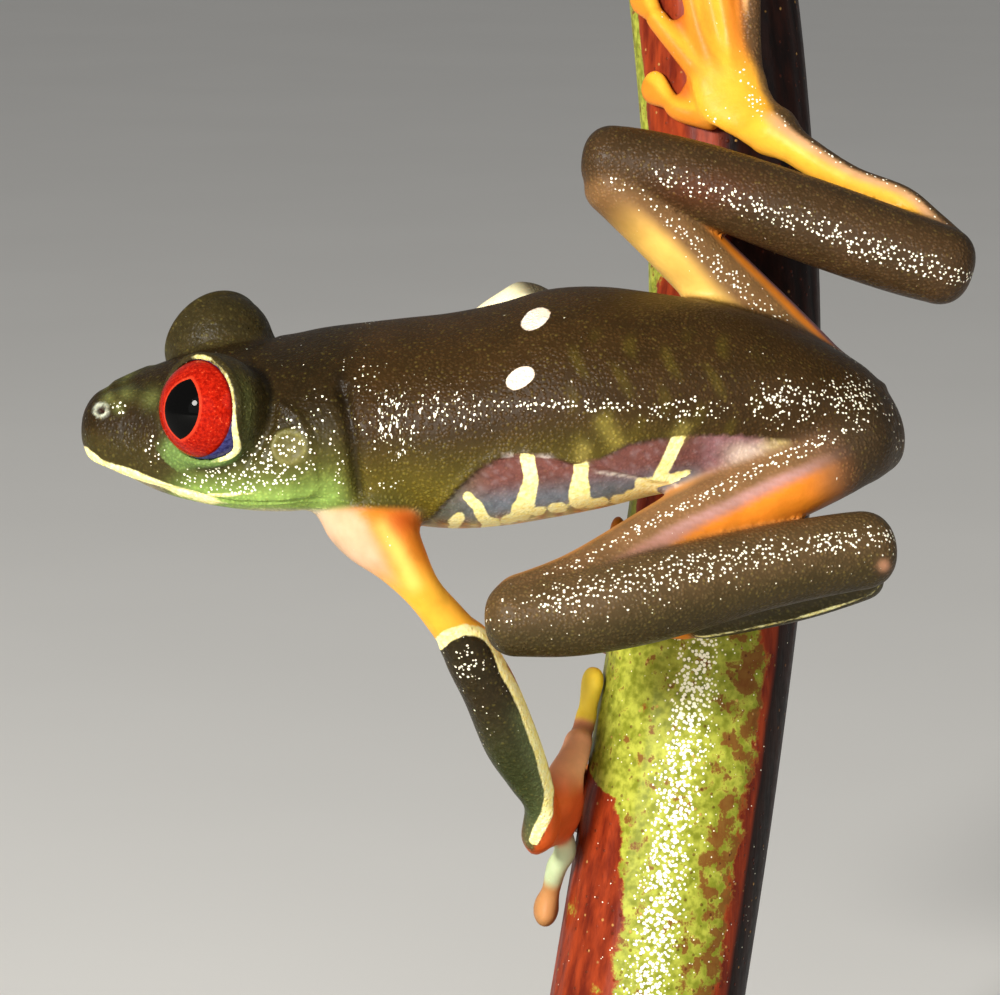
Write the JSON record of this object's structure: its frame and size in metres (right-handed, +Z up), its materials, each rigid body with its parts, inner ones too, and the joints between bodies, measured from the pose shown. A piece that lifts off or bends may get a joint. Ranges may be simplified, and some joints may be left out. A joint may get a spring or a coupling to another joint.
{
  "type": "red-eyed tree frog",
  "caption": "Life-size still model of a red-eyed tree frog clinging sideways to a short cut plant stem, on a plain display stand.",
  "frame": {"origin": "middle of the flat underside of the stand's base", "axes": "+Z up out of the base; -X the way the frog faces; -Y towards the frog's left side, from which the model is viewed"},
  "size_m": [0.0666, 0.064, 0.1119],
  "materials": {
    "skin": "moist granular skin, olive brown above, orange on the inner sides of the limbs, cream and purple on the flanks",
    "eye": "wet gloss, red iris with an upright black pupil",
    "stem": "waxy plant stem, yellow green blotched with red brown",
    "stand_wood": "dark oiled wood",
    "stand_metal": "satin"
  },
  "bodies": {
    "root": {"perch_stem": "stem", "trunk": "skin", "head": "skin", "lower_jaw": "skin", "eye_left": "eye", "eye_right": "eye", "upper_arm_left": "skin", "forearm_left": "skin", "upper_arm_right": "skin", "forearm_right": "skin", "thigh_left": "skin", "shank_left": "skin", "tarsus_left": "skin", "thigh_right": "skin", "shank_right": "skin", "tarsus_right": "skin", "palm_left": "skin", "palm_right": "skin", "sole_left": "skin", "sole_right": "skin", "finger_left_1": "skin", "finger_left_2": "skin", "finger_left_3": "skin", "finger_left_4": "skin", "finger_right_1": "skin", "finger_right_2": "skin", "finger_right_3": "skin", "finger_right_4": "skin", "toe_left_1": "skin", "toe_left_2": "skin", "toe_left_3": "skin", "toe_left_4": "skin", "toe_left_5": "skin", "toe_right_1": "skin", "toe_right_2": "skin", "toe_right_3": "skin", "toe_right_4": "skin", "toe_right_5": "skin", "stand_base": "stand_wood", "stand_rod": "stand_metal"}
  },
  "joints": []
}
